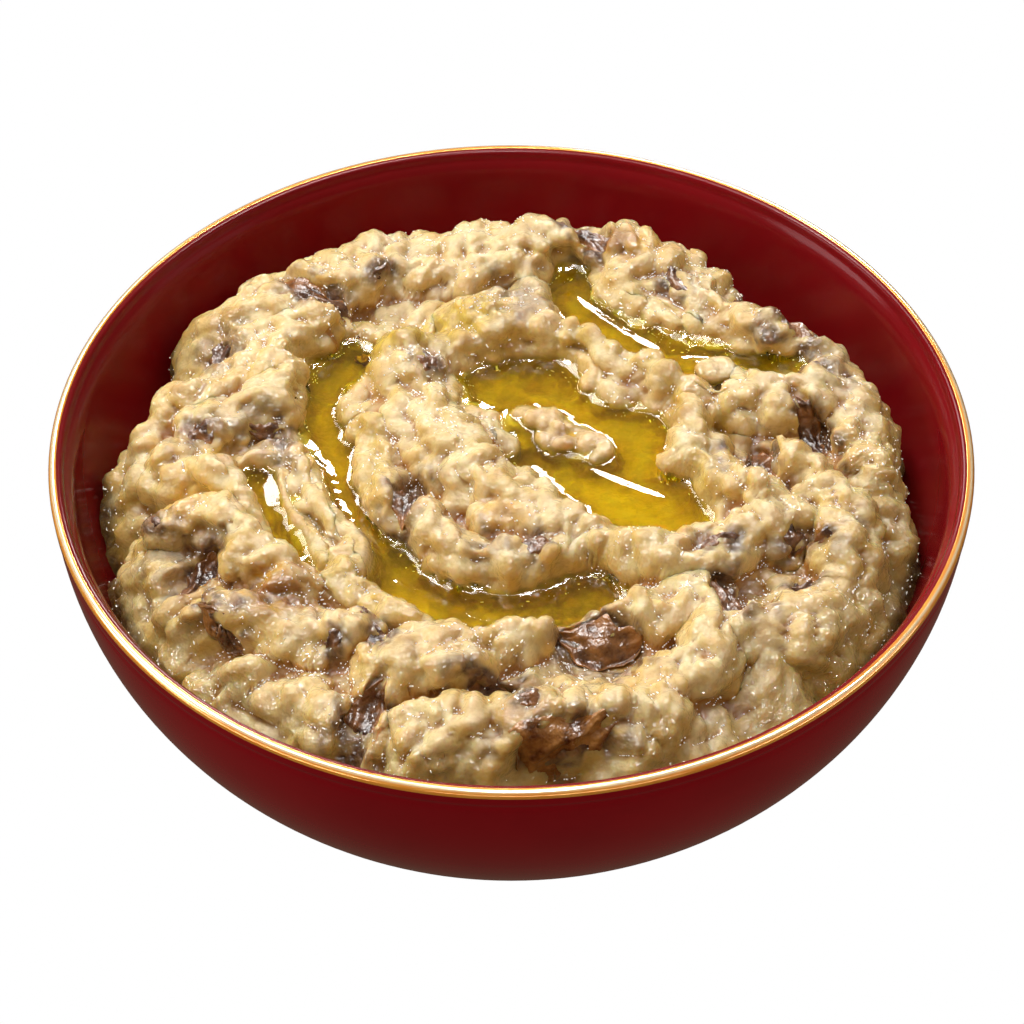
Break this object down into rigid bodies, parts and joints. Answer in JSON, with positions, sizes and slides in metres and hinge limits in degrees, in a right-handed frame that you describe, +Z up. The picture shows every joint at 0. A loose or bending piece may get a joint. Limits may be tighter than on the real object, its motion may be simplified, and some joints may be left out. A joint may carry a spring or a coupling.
{
  "type": "baba ganoush in a serving bowl",
  "caption": "Coarse roasted aubergine dip with spiral spoon folds, pools of olive oil and charred skin strips, in a deep glazed serving bowl with a foot ring.",
  "frame": {"origin": "middle of the foot ring, on the plane the bowl stands on", "axes": "+Z up along the bowl's axis, -Y to the front, +X to the right seen from the front"},
  "size_m": [0.1622, 0.1622, 0.0661],
  "materials": {
    "red_glaze": "glossy dark red glaze on fired clay, with a metallic gold line on the lip",
    "dip": "wet mashed aubergine, translucent and lumpy",
    "olive_oil": "clear golden green oil",
    "charred_skin": "dark brown glossy roasted skin"
  },
  "bodies": {
    "root": {"bowl": "red_glaze", "baba_ganoush": "dip", "oil_centre": "olive_oil", "oil_left": "olive_oil", "oil_left_branch": "olive_oil", "oil_back": "olive_oil", "skin_01": "charred_skin", "skin_02": "charred_skin", "skin_03": "charred_skin", "skin_04": "charred_skin", "skin_05": "charred_skin", "skin_06": "charred_skin", "skin_07": "charred_skin", "skin_08": "charred_skin", "skin_09": "charred_skin", "skin_10": "charred_skin", "skin_11": "charred_skin", "skin_12": "charred_skin", "skin_13": "charred_skin"}
  },
  "joints": []
}
